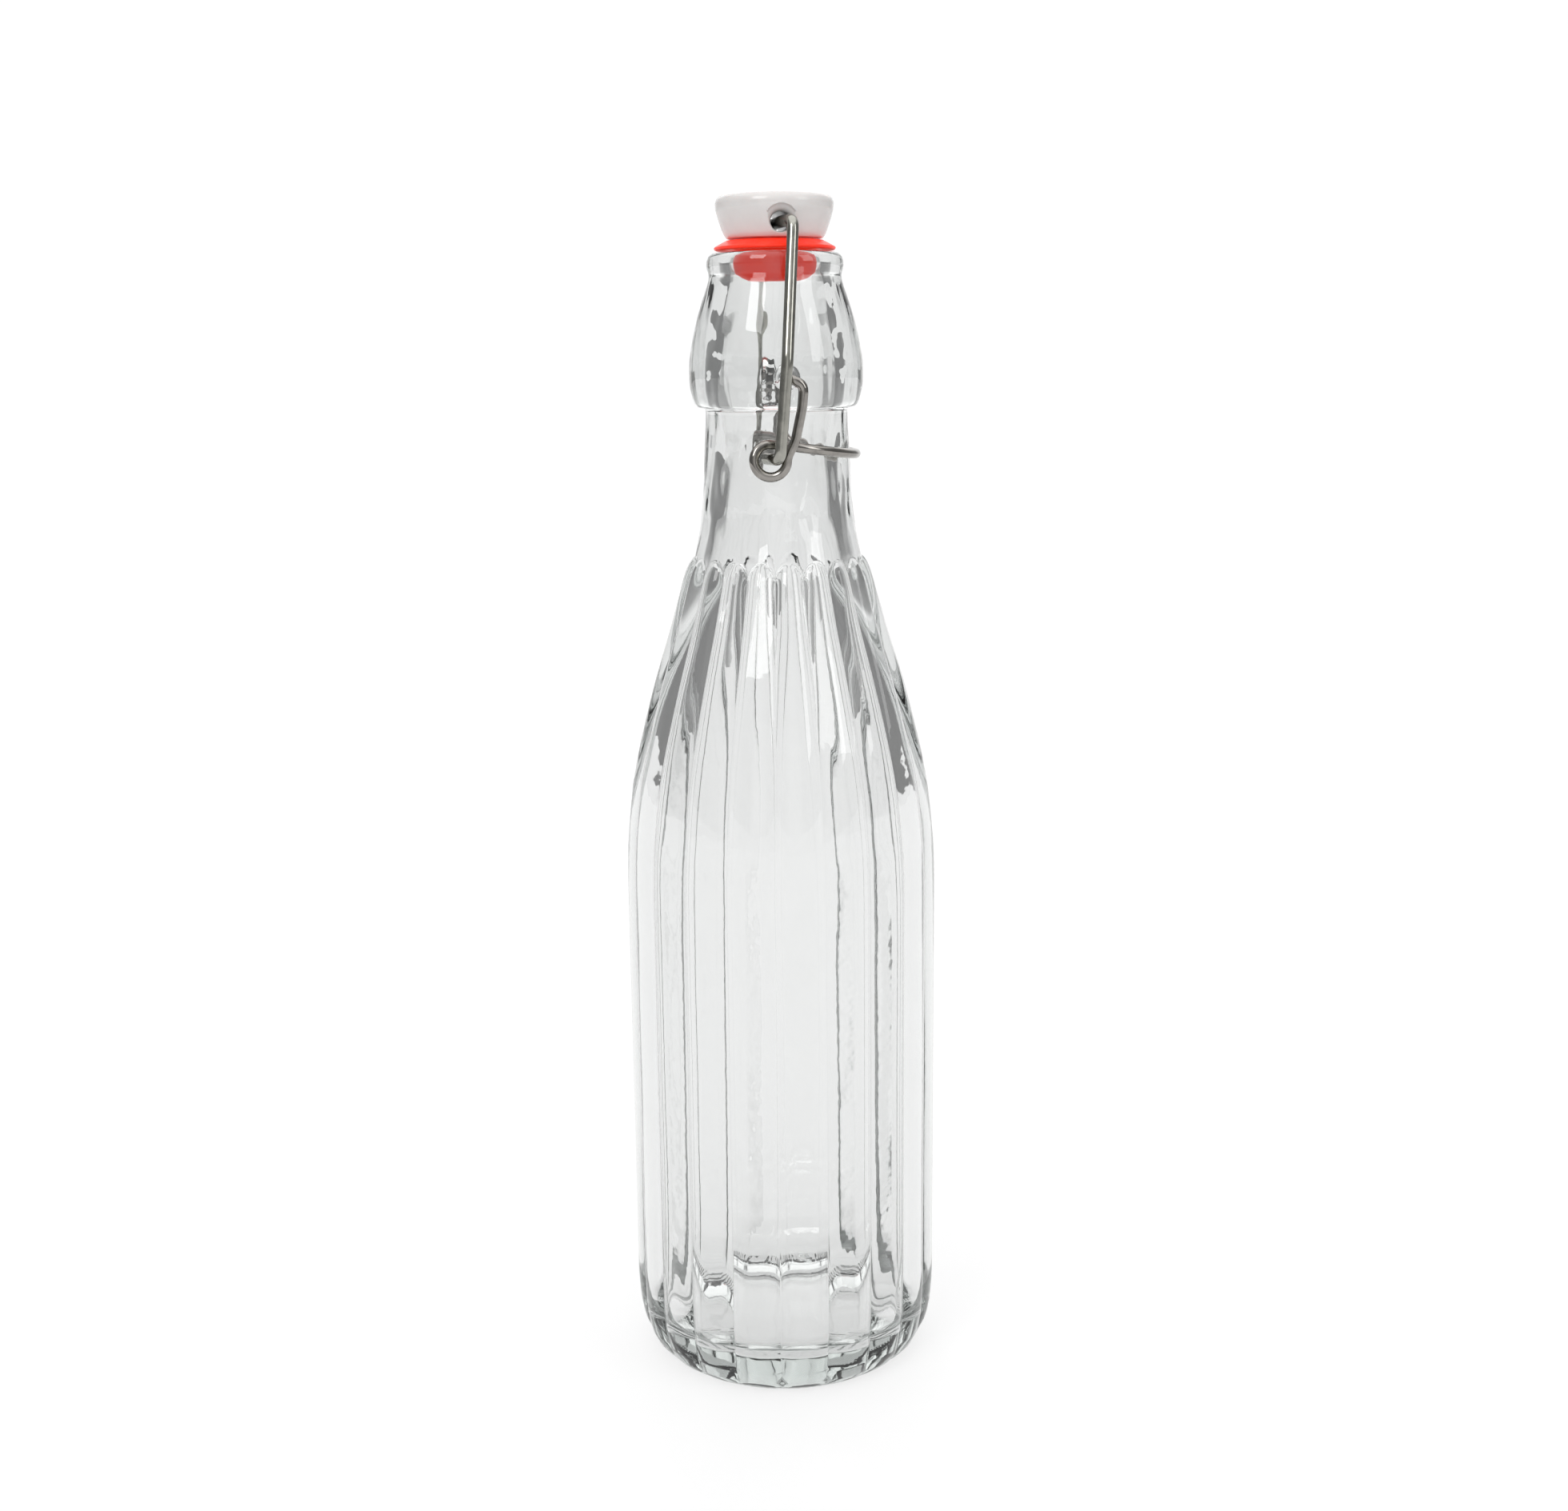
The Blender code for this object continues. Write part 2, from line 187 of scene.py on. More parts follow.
def smooth_line(table, spacing):
    """Resample a table of rows along its length with a cubic that never overshoots."""
    rows = np.array(table, float)
    step = np.sqrt(((rows[1:, :2] - rows[:-1, :2]) ** 2).sum(1))
    at = np.concatenate([[0.0], np.cumsum(np.maximum(step, 1e-6))])
    count = max(int(at[-1] / spacing), len(at))
    wanted = np.unique(np.concatenate([np.linspace(0.0, at[-1], count), at]))
    keep = np.concatenate([[True], np.diff(wanted) > spacing * 0.2])
    keep[-1] = True
    wanted = wanted[keep]
    return np.stack([cubic(at, rows[:, k], wanted) for k in range(rows.shape[1])], 1)


def cubic(x, y, wanted):
    """Monotone cubic interpolation (Fritsch-Carlson)."""
    h = np.diff(x)
    d = np.diff(y) / h
    m = np.zeros(len(x))
    m[0], m[-1] = d[0], d[-1]
    for i in range(1, len(x) - 1):
        if d[i - 1] * d[i] > 0.0:
            w1 = 2.0 * h[i] + h[i - 1]
            w2 = h[i] + 2.0 * h[i - 1]
            m[i] = (w1 + w2) / (w1 / d[i - 1] + w2 / d[i])
    i = np.clip(np.searchsorted(x, wanted) - 1, 0, len(h) - 1)
    t = (wanted - x[i]) / h[i]
    return (
        (2 * t**3 - 3 * t**2 + 1) * y[i]
        + (t**3 - 2 * t**2 + t) * h[i] * m[i]
        + (-2 * t**3 + 3 * t**2) * y[i + 1]
        + (t**3 - t**2) * h[i] * m[i + 1]
    )


def finish_mesh(name, verts, faces, mat):
    """A linked, smooth-shaded object with its faces turned outward."""
    mesh = bpy.data.meshes.new(name)
    mesh.from_pydata([tuple(v) for v in verts], [], faces)
    mesh.validate()
    mesh.update()
    thing = bpy.data.objects.new(name, mesh)
    bpy.context.scene.collection.objects.link(thing)
    data = bmesh.new()
    data.from_mesh(mesh)
    bmesh.ops.recalc_face_normals(data, faces=data.faces)
    data.to_mesh(mesh)
    data.free()
    mesh.shade_smooth()
    mesh.materials.append(mat)
    return thing


def grid_faces(rows, columns):
    """Quads of a tube of rows, closed at each end by a fan to a middle point."""
    faces = []
    for r in range(rows - 1):
        a = r * columns
        b = a + columns
        for c in range(columns):
            d = (c + 1) % columns
            faces.append((a + c, a + d, b + d, b + c))
    start_point = rows * columns
    end_point = start_point + 1
    last = (rows - 1) * columns
    for c in range(columns):
        faces.append(((c + 1) % columns, c, start_point))
    for c in range(columns):
        faces.append((last + c, last + (c + 1) % columns, end_point))
    return faces


def turned_mesh(name, radius, height, angles, mat):
    """A closed solid around the bottle's axis, from a radius and a height for each row and column."""
    verts = np.stack([radius * np.cos(angles), radius * np.sin(angles), height], -1).reshape(-1, 3)
    ends = np.array([[0.0, 0.0, height[0, 0]], [0.0, 0.0, height[-1, 0]]])
    verts = np.concatenate([verts, ends]) * UNIT
    return finish_mesh(name, verts, grid_faces(len(height), len(angles)), mat)


def lathe(name, table, spacing, columns, mat):
    """A turned solid on the bottle's axis; the table starts and ends near the axis."""
    line = smooth_line(table, spacing)
    angles = np.linspace(0.0, 2.0 * math.pi, columns, endpoint=False)
    return turned_mesh(name, np.repeat(line[:, 1:2], columns, 1), np.repeat(line[:, 0:1], columns, 1), angles, mat)


def side_cutter(name, rows, steps, height, mat):
    """A closed solid around a line along Y at this height, from rows of (y, radius)."""
    verts = []
    for y, radius in rows:
        for i in range(steps):
            a = 2.0 * math.pi * i / steps
            verts.append((radius * math.cos(a), y, height + radius * math.sin(a)))
    verts.append((0.0, rows[0][0], height))
    verts.append((0.0, rows[-1][0], height))
    return finish_mesh(name, np.array(verts) * UNIT, grid_faces(len(rows), steps), mat)


def carve(target, cutter):
    """Cut the cutter out of the target and delete it."""
    modifier = target.modifiers.new("carve", "BOOLEAN")
    modifier.operation = "DIFFERENCE"
    modifier.solver = "EXACT"
    modifier.object = cutter
    bpy.context.view_layer.update()
    mesh = bpy.data.meshes.new_from_object(target.evaluated_get(bpy.context.evaluated_depsgraph_get()))
    target.modifiers.clear()
    target.data = mesh
    mesh.shade_smooth()
    bpy.data.objects.remove(cutter, do_unlink=True)


# ---------------------------------------------------------------- materials
def new_material(name):
    mat = bpy.data.materials.new(name)
    mat.use_nodes = True
    tree = mat.node_tree
    return mat, tree, tree.nodes["Principled BSDF"]


def object_place(tree):
    return tree.nodes.new("ShaderNodeTexCoord").outputs["Object"]


def noise_fac(tree, vector, scale, detail=3.0, rough=0.5):
    made = tree.nodes.new("ShaderNodeTexNoise")
    made.inputs["Scale"].default_value = scale
    made.inputs["Detail"].default_value = detail
    made.inputs["Roughness"].default_value = rough
    tree.links.new(vector, made.inputs["Vector"])
    return made.outputs["Fac"]


def ramp(tree, fac, stops):
    made = tree.nodes.new("ShaderNodeValToRGB")
    elements = made.color_ramp.elements
    while len(elements) < len(stops):
        elements.new(0.5)
    for element, (position, colour) in zip(elements, stops):
        element.position = position
        element.color = (*colour, 1.0)
    tree.links.new(fac, made.inputs["Fac"])
    return made.outputs["Color"]


def grey(value):
    return (value, value, value)


def map_range(tree, fac, low, high, to_low, to_high):
    made = tree.nodes.new("ShaderNodeMapRange")
    made.inputs["From Min"].default_value = low
    made.inputs["From Max"].default_value = high
    made.inputs["To Min"].default_value = to_low
    made.inputs["To Max"].default_value = to_high
    tree.links.new(fac, made.inputs["Value"])
    return made.outputs["Result"]


def math_node(tree, operation, first, second):
    made = tree.nodes.new("ShaderNodeMath")
    made.operation = operation
    for socket, value in zip(made.inputs, (first, second)):
        if isinstance(value, (int, float)):
            socket.default_value = value
        else:
            tree.links.new(value, socket)
    return made.outputs["Value"]


def mix_colour(tree, factor, first, second):
    """A blend of two colours; a Mix node's colour sockets are its inputs 6 and 7 and its output 2."""
    mix = tree.nodes.new("ShaderNodeMix")
    mix.data_type = "RGBA"
    tree.links.new(factor, mix.inputs["Factor"])
    for socket, value in ((mix.inputs[6], first), (mix.inputs[7], second)):
        if isinstance(value, tuple):
            socket.default_value = (*value, 1.0)
        else:
            tree.links.new(value, socket)
    return mix.outputs[2]


def bump(tree, height, strength, distance, normal=None):
    made = tree.nodes.new("ShaderNodeBump")
    made.inputs["Strength"].default_value = strength
    made.inputs["Distance"].default_value = distance
    tree.links.new(height, made.inputs["Height"])
    if normal:
        tree.links.new(normal, made.inputs["Normal"])
    return made.outputs["Normal"]


def glass_material():
    """Clear moulded glass, faintly tinted, with smears, a soft skin and a beaded standing ring."""
    mat, tree, shader = new_material("clear_glass")
    place = object_place(tree)
    shader.inputs["Base Color"].default_value = (0.925, 0.927, 0.926, 1.0)
    shader.inputs["Transmission Weight"].default_value = 1.0
    shader.inputs["IOR"].default_value = 1.51
    smear = noise_fac(tree, place, 38.0, 4.0, 0.6)
    tree.links.new(map_range(tree, smear, 0.45, 0.8, 0.0, 0.05), shader.inputs["Roughness"])
    peel = noise_fac(tree, place, 200.0, 2.0, 0.5)
    split = tree.nodes.new("ShaderNodeSeparateXYZ")
    tree.links.new(place, split.inputs["Vector"])
    turn = math_node(tree, "ARCTAN2", split.outputs["Y"], split.outputs["X"])
    teeth = math_node(tree, "SINE", math_node(tree, "MULTIPLY", turn, KNURL_COUNT), 0.0)
    foot = map_range(tree, split.outputs["Z"], 0.0001, 0.0007, 1.0, 0.0)
    knurl = math_node(tree, "MULTIPLY", teeth, foot)
    skin = bump(tree, peel, 0.055, 0.0004)
    tree.links.new(bump(tree, knurl, 0.5, 0.0004, skin), shader.inputs["Normal"])
    absorb = tree.nodes.new("ShaderNodeVolumeAbsorption")
    absorb.inputs["Color"].default_value = (0.694, 0.714, 0.705, 1.0)
    absorb.inputs["Density"].default_value = 40.0
    tree.links.new(absorb.outputs["Volume"], tree.nodes["Material Output"].inputs["Volume"])
    return mat


def steel_material(name, dark, light, rough_low, rough_high):
    """Drawn wire: patchy colour and gloss, with fine lines along it."""
    mat, tree, shader = new_material(name)
    coordinates = tree.nodes.new("ShaderNodeTexCoord")
    stretch = tree.nodes.new("ShaderNodeMapping")
    stretch.inputs["Scale"].default_value = (3.0, 160.0, 1.0)
    tree.links.new(coordinates.outputs["UV"], stretch.inputs["Vector"])
    lines = noise_fac(tree, stretch.outputs["Vector"], 5.0, 3.0, 0.6)
    patch = noise_fac(tree, coordinates.outputs["Object"], 320.0, 4.0, 0.65)
    colour = ramp(tree, patch, [(0.25, dark), (0.55, light), (0.80, tuple(c * 1.1 for c in light))])
    tree.links.new(colour, shader.inputs["Base Color"])
    shader.inputs["Metallic"].default_value = 1.0
    rough = map_range(tree, patch, 0.3, 0.75, rough_low, rough_high)
    tree.links.new(rough, shader.inputs["Roughness"])
    first = bump(tree, lines, 0.05, 0.00006)
    second = bump(tree, noise_fac(tree, coordinates.outputs["Object"], 900.0, 2.0), 0.03, 0.00004, first)
    tree.links.new(second, shader.inputs["Normal"])
    return mat


def stopper_material():
    """Glossy off-white."""
    mat, tree, shader = new_material("white_stopper")
    place = object_place(tree)
    cloud = noise_fac(tree, place, 120.0, 4.0, 0.55)
    colour = ramp(tree, cloud, [(0.3, (0.61, 0.585, 0.575)), (0.7, (0.67, 0.65, 0.64))])
    tree.links.new(colour, shader.inputs["Base Color"])
    shader.inputs["IOR"].default_value = 1.5
    shader.inputs["Subsurface Weight"].default_value = 0.15
    shader.inputs["Subsurface Radius"].default_value = (0.004, 0.0025, 0.002)
    shader.inputs["Subsurface Scale"].default_value = 0.5
    rough = map_range(tree, noise_fac(tree, place, 300.0, 3.0), 0.3, 0.7, 0.16, 0.26)
    tree.links.new(rough, shader.inputs["Roughness"])
    peel = noise_fac(tree, place, 500.0, 2.0)
    tree.links.new(bump(tree, peel, 0.06, 0.0003), shader.inputs["Normal"])
    return mat


def rubber_material():
    """Slightly shiny red. It gives off a little of its own red, which real rubber doesn't."""
    mat, tree, shader = new_material("red_rubber")
    place = object_place(tree)
    cloud = noise_fac(tree, place, 180.0, 4.0, 0.6)
    colour = ramp(tree, cloud, [(0.3, (0.96, 0.022, 0.006)), (0.7, (0.99, 0.036, 0.010))])
    tree.links.new(colour, shader.inputs["Base Color"])
    shader.inputs["Subsurface Weight"].default_value = 0.2
    shader.inputs["Subsurface Radius"].default_value = (0.004, 0.001, 0.0006)
    shader.inputs["Subsurface Scale"].default_value = 0.5
    shader.inputs["Specular IOR Level"].default_value = 0.3
    tree.links.new(colour, shader.inputs["Emission Color"])
    shader.inputs["Emission Strength"].default_value = 0.2
    rough = map_range(tree, noise_fac(tree, place, 420.0, 3.0), 0.3, 0.7, 0.28, 0.42)
    tree.links.new(rough, shader.inputs["Roughness"])
    grain = noise_fac(tree, place, 1300.0, 2.0)
    tree.links.new(bump(tree, grain, 0.12, 0.0001), shader.inputs["Normal"])
    return mat


# ---------------------------------------------------------------- bottle
def column_angles():
    """Column angles, closest together in the sharp valleys, and each column's place across its rib."""
    pitch = 2.0 * math.pi / RIB_COUNT
    half = RIB_COLUMNS // 2
    across = np.sin(0.5 * math.pi * np.arange(-half, half) / half)
    angles = np.concatenate([-0.5 * math.pi + pitch * (k + 0.5 * across) for k in range(RIB_COUNT)])
    return angles, np.tile(across, RIB_COUNT)


def wave(angle, height, seed, turns, pace):
    """Slow, smooth unevenness that joins up around the bottle."""
    return noise.noise(Vector((turns * math.cos(angle) + seed, turns * math.sin(angle), height * pace)))


def waves(angle, height, table):
    total = 0.0
    for depth, seed, turns, pace in table:
        total += depth * wave(angle, height, seed, turns, pace)
    return total


def rib_section(across):
    """From 0 in a valley to 1 on a crest, along a circle's arc."""
    edge = math.sqrt(1.0 - RIB_ROUNDNESS**2)
    return (np.sqrt(1.0 - (RIB_ROUNDNESS * across) ** 2) - edge) / (1.0 - edge)


def flute_rows(across):
    """The ribbed body and shoulder, up to where the ribs start to end."""
    flute = smooth_line(FLUTE_LINE, FLUTE_SPACING)
    rib = rib_section(across)
    for height, crest, valley in flute[flute[:, 0] < RIB_END_START - 1.0]:
        yield valley + (crest - valley) * rib, height


def rib_end_rows(across):
    """The ribs' rounded upper ends."""
    table = np.array(FLUTE_LINE)
    rib = rib_section(across)
    end = RIB_END_TOP - RIB_END_DROP * across**2
    start = RIB_END_START - RIB_END_START_DROP * across**2
    for height in np.arange(RIB_END_START - 0.8, RIB_END_LAST_ROW, RIB_END_SPACING):
        crest = cubic(table[:, 0], table[:, 1], np.array([height]))[0]
        valley = cubic(table[:, 0], table[:, 2], np.array([height]))[0]
        t = np.clip((height - start) / (end - start), 0.0, 1.0)
        tip = np.sqrt(np.clip(1.0 - t**RIB_TIP_POWER, 0.0, 1.0))
        yield valley + (crest - valley) * rib * tip, height


def neck_rows(angles):
    """The neck, collar and lip, with the mould's two seams."""
    for height, radius in smooth_line(NECK_LINE, NECK_SPACING):
        seam = np.zeros(len(angles))
        for degrees in SEAM_DEGREES:
            gap = (angles - math.radians(degrees) + math.pi) % (2.0 * math.pi) - math.pi
            seam += SEAM_HEIGHT * np.exp(-((gap * radius / SEAM_WIDTH) ** 2))
        yield radius + seam, height


def inside_rows(angles):
    """The inner wall from the mouth to the floor: uneven, and calmer low in the body and near the floor."""
    fluting = np.cos(RIB_COUNT * (angles + 0.5 * math.pi))
    for height, radius in smooth_line(INSIDE_LINE, INSIDE_SPACING):
        lively = CALM_SHARE + (1.0 - CALM_SHARE) * clamp((height - CALM_TOP) / LIVELY_RISE)
        uneven = lively * np.array([waves(a, height, WALL_WAVES) for a in angles])
        soft = clamp((height - 12.0) / 10.0) * clamp((206.0 - height) / 40.0)
        uneven += INNER_FLUTE_DEPTH * soft * fluting
        fade = min(1.0, radius / 30.0) * min(1.0, max(0.0, (radius - 9.6) / 8.0) + 0.25)
        if height < 9.5:
            fade *= 0.3
        if NECK_WAVE_LOW < height < NECK_WAVE_HIGH:
            part = min(1.0, (height - NECK_WAVE_LOW) / 12.0, (NECK_WAVE_HIGH - height) / 8.0)
            depth, seed, turns, pace = NECK_WAVE
            ripple = np.array([wave(a, height, seed, turns, pace) for a in angles])
            uneven = uneven * fade + depth * part * ripple
            fade = 1.0
        yield radius + uneven * fade, height


def build_glass(mat):
    """One closed skin: the underside, out and up the outside, over the lip and down the inside."""
    angles, across = column_angles()
    columns = len(angles)
    underside = smooth_line(UNDERSIDE_LINE, UNDERSIDE_SPACING)[:-1]
    rows = [(np.full(columns, radius), height) for height, radius in underside]
    rows += [*flute_rows(across), *rib_end_rows(across), *neck_rows(angles), *inside_rows(angles)]
    radius = np.array([r for r, _ in rows])
    height = np.array([np.full(columns, h) for _, h in rows])
    bottle = turned_mesh("bottle_glass", radius, height, angles, mat)
    for sign in (-1.0, 1.0):
        pit = [(sign * y, r) for y, r in PIT_PROFILE]
        carve(bottle, side_cutter("pit_cutter", pit, PIT_STEPS, PIVOT_Z, bottle.data.materials[0]))
    return bottle


# ---------------------------------------------------------------- wires
def fillet_path(points, radii):
    """The points joined by straight lines, with an arc of the given radius at each corner."""
    path = [Vector(points[0])]
    for i in range(1, len(points) - 1):
        here = Vector(points[i])
        back = (Vector(points[i - 1]) - here).normalized()
        ahead = (Vector(points[i + 1]) - here).normalized()
        half = back.angle(ahead) / 2.0
        if radii[i] <= 0.0 or half > math.radians(89.0):
            path.append(here)
            continue
        setback = radii[i] / math.tan(half)
        centre = here + (back + ahead).normalized() * radii[i] / math.sin(half)
        first = (here + back * setback - centre).normalized()
        last = (here + ahead * setback - centre).normalized()
        for k in range(FILLET_STEPS + 1):
            path.append(centre + radii[i] * first.slerp(last, k / FILLET_STEPS))
    path.append(Vector(points[-1]))
    return path


def resample(path, spacing):
    """Evenly spaced points along the path, slightly softened."""
    points = np.array([tuple(p) for p in path])
    step = np.sqrt(((points[1:] - points[:-1]) ** 2).sum(1))
    at = np.concatenate([[0.0], np.cumsum(step)])
    wanted = np.linspace(0.0, at[-1], int(at[-1] / spacing) + 1)
    out = np.stack([np.interp(wanted, at, points[:, k]) for k in range(3)], 1)
    for _ in range(SMOOTHING_PASSES):
        out[1:-1] = 0.25 * out[:-2] + 0.5 * out[1:-1] + 0.25 * out[2:]
    return [Vector(p) for p in out]


def wire(name, path, radius, mat):
    """A round wire with slightly rounded cut ends, with UVs of length along it and turn around it."""
    path = resample(path, WIRE_SPACING)
    tangents = []
    for i in range(len(path)):
        tangents.append((path[min(i + 1, len(path) - 1)] - path[max(i - 1, 0)]).normalized())
    normal = tangents[0].orthogonal().normalized()
    along = [0.0]
    for i in range(1, len(path)):
        along.append(along[-1] + (path[i] - path[i - 1]).length)
    verts = []
    for i, point in enumerate(path):
        if i:
            normal = tangents[i - 1].rotation_difference(tangents[i]) @ normal
        normal = (normal - tangents[i] * normal.dot(tangents[i])).normalized()
        side = tangents[i].cross(normal)
        to_end = min(along[i], along[-1] - along[i])
        slim = 1.0
        if to_end < CUT_END_LENGTH:
            slim = 1.0 - CUT_END_SHRINK * (1.0 - to_end / CUT_END_LENGTH) ** 2
        uneven = WIRE_UNEVENNESS * noise.noise(Vector((along[i] * 0.35, 7.3, radius)))
        thickness = radius * slim * (1.0 + uneven)
        for k in range(WIRE_SIDES):
            a = 2.0 * math.pi * k / WIRE_SIDES
            verts.append(point + thickness * (math.cos(a) * normal + math.sin(a) * side))
    verts.append(path[0])
    verts.append(path[-1])
    verts = np.array([tuple(v) for v in verts]) * UNIT
    thing = finish_mesh(name, verts, grid_faces(len(path), WIRE_SIDES), mat)
    add_wire_uvs(thing, along)
    return thing


def add_wire_uvs(thing, along):
    """U is the length along the wire and V the turn around it, past 1 where a face crosses the seam."""
    layer = thing.data.uv_layers.new(name="wire")
    count = len(along) * WIRE_SIDES
    for face in thing.data.polygons:
        corners = [(loop, thing.data.loops[loop].vertex_index) for loop in face.loop_indices]
        turns = [(v % WIRE_SIDES) / WIRE_SIDES for _, v in corners if v < count]
        wrap = bool(turns) and max(turns) - min(turns) > 0.5
        for loop, v in corners:
            if v >= count:
                layer.data[loop].uv = (0.0 if v == count else along[-1] * UV_PER_MM, 0.5)
                continue
            turn = (v % WIRE_SIDES) / WIRE_SIDES
            if wrap and turn < 0.5:
                turn += 1.0
            layer.data[loop].uv = (along[v // WIRE_SIDES] * UV_PER_MM, turn)


def lever_half(side):
    """Half of the lever: its pin in the glass, its arm, one eye loop and half of the handle."""
    pin = [
        (0.0, side * PIN_END_Y, PIVOT_Z),
        (0.0, side * (ARM_Y + 0.1), PIVOT_Z),
        (3.75, side * ARM_Y, PIVOT_Z - 1.7),
        (3.3, side * ARM_Y, 249.0),
        (1.55, side * ARM_Y, 240.9),
        (EYE_X + EYE_RADIUS + 0.42, side * ARM_Y, EYE_Z + 1.7),
    ]
    path = fillet_path(pin, [0.0, 1.7, 2.0, 6.0, 6.0, 0.0])
    for k in range(EYE_STEPS + 1):
        angle = math.radians(EYE_START_DEG - EYE_SWEEP_DEG * k / EYE_STEPS)
        inward = max(0.0, (k - EYE_FLAT_STEPS) / (EYE_STEPS - EYE_FLAT_STEPS))
        y = ARM_Y + (EYE_INNER_Y - ARM_Y) * inward
        path.append(Vector((EYE_X + EYE_RADIUS * math.cos(angle), side * y, EYE_Z + EYE_RADIUS * math.sin(angle))))
    for k in range(HANDLE_STEPS + 1):
        angle = math.radians(HANDLE_START_DEG - HANDLE_START_DEG * k / HANDLE_STEPS)
        x = HANDLE_X * math.cos(angle)
        path.append(Vector((x, side * HANDLE_Y * math.sin(angle), HANDLE_Z + HANDLE_SLOPE * (HANDLE_X - x))))
    return path


def bail_half(side):
    """Half of the bail: from the middle of the stopper's hole down to one hook."""
    top_x = -side * TOP_X

    def leg_x(height):
        rise = (height - HOOK_Z) / (STOPPER_Z - HOOK_Z)
        return HOOK_BEND_X * (1.0 - rise) + top_x * rise

    return fillet_path(
        [
            (0.0, 0.0, STOPPER_Z),
            (-side * HOLE_WIRE_X, side * HOLE_WIRE_Y, STOPPER_Z),
            (top_x, side * TOP_Y, STOPPER_Z),
            (leg_x(LEG_BEND_Z), side * LEG_Y, LEG_BEND_Z),
            (leg_x(LEG_LOW_Z), side * LEG_Y, LEG_LOW_Z),
            (HOOK_BEND_X, side * LEG_Y, HOOK_Z),
            (HOOK_BEND_X - HOOK_SLANT * (LEG_Y - HOOK_TIP_Y), side * HOOK_TIP_Y, HOOK_Z),
        ],
        [0.0, 9.0, 2.4, 12.0, 0.0, 1.9, 0.0],
    )


# ---------------------------------------------------------------- stopper
def build_head(mat):
    """The stopper head with its cross hole, flared at both mouths."""
    head = lathe("stopper_cap", HEAD_LINE, HEAD_SPACING, STOPPER_COLUMNS, mat)
    rows = [(-y, r) for y, r in HOLE_PROFILE[::-1]] + HOLE_PROFILE[1:]
    carve(head, side_cutter("hole_cutter", rows, HOLE_STEPS, STOPPER_Z, mat))
    return head


# ---------------------------------------------------------------- build the object
glass = glass_material()
lever_steel = steel_material("lever_steel", (0.20, 0.19, 0.18), (0.30, 0.285, 0.265), 0.06, 0.13)
bail_steel = steel_material("bail_steel", (0.26, 0.26, 0.235), (0.36, 0.355, 0.32), 0.13, 0.22)
porcelain = stopper_material()
rubber = rubber_material()

bottle = build_glass(glass)
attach(bottle, "bottle")
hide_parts("glass_bottle")

near, far = lever_half(-1.0), lever_half(1.0)
lever = wire("lever_wire", near + far[-2::-1], LEVER_WIRE, lever_steel)
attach(lever, "lever")
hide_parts("locking_lever")

near, far = bail_half(-1.0), bail_half(1.0)
bail = wire("bail_wire", near[::-1] + far[1:], BAIL_WIRE, bail_steel)
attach(bail, "bail")
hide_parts("stopper_bail")

head = build_head(porcelain)
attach(head, "stopper")
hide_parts("stopper_head")

gasket = lathe("seal_ring", GASKET_LINE, GASKET_SPACING, STOPPER_COLUMNS, rubber)
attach(gasket, "stopper")
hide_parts("seal_gasket")


# ---------------------------------------------------------------- studio
# lengths in metres from here on
CAMERA_AZIMUTH = math.radians(-7.0)
CAMERA_DISTANCE = 484.9 * UNIT
CAMERA_HEIGHT = 261.8 * UNIT
CAMERA_PAN = math.radians(0.115)
CAMERA_TILT = math.radians(90.0 - 11.86)
CAMERA_ROLL = math.radians(-0.6)
# the focal length in the photograph's pixels, the photograph's width in pixels and the sensor's width in mm
CAMERA_LENS = 2400.0 / 1960.0 * 36.0

FLOOR_SIZE = 9.0
FLOOR_DROP = 0.0002
FLOOR_GLOW = 0.74

# the world's brightness from behind the bottle (0) round to behind the camera (1): low down, and in the band above
LOW_STOPS = [
    (0.0, 1.02), (0.131, 1.02), (0.18, 0.44), (0.28, 0.25), (0.62, 0.26), (0.86, 0.34), (0.93, 0.78), (1.0, 0.85),
]
BAND_STOPS = [(0.0, 1.9), (0.13, 1.6), (0.3, 0.27), (0.6, 0.27), (0.86, 0.34), (0.93, 0.7), (1.0, 0.75)]
OVERHEAD = 1.62
# the heights, as the direction's z, between which the low part turns to the band and the band to overhead
BAND_RISE = (0.22, 0.40)
OVERHEAD_RISE = (0.55, 0.80)


def grey_ramp(tree, fac, stops):
    return ramp(tree, fac, [(at, grey(value)) for at, value in stops])


def build_floor():
    """A plain white light table, the same all over."""
    mat, tree, shader = new_material("floor")
    white = grey_ramp(tree, noise_fac(tree, object_place(tree), 14.0, 3.0), [(0.3, 0.20), (0.7, 0.22)])
    tree.links.new(white, shader.inputs["Base Color"])
    shader.inputs["Emission Color"].default_value = (1.0, 1.0, 1.0, 1.0)
    shader.inputs["Emission Strength"].default_value = FLOOR_GLOW
    shader.inputs["Roughness"].default_value = 0.7
    shader.inputs["Specular IOR Level"].default_value = 0.2
    mesh = bpy.data.meshes.new("floor")
    half = FLOOR_SIZE / 2.0
    corners = [(-half, -half, 0.0), (half, -half, 0.0), (half, half, 0.0), (-half, half, 0.0)]
    mesh.from_pydata(corners, [], [(0, 1, 2, 3)])
    mesh.materials.append(mat)
    floor = bpy.data.objects.new("floor", mesh)
    floor.location.z = -FLOOR_DROP
    floor.rotation_euler.z = CAMERA_AZIMUTH
    bpy.context.scene.collection.objects.link(floor)


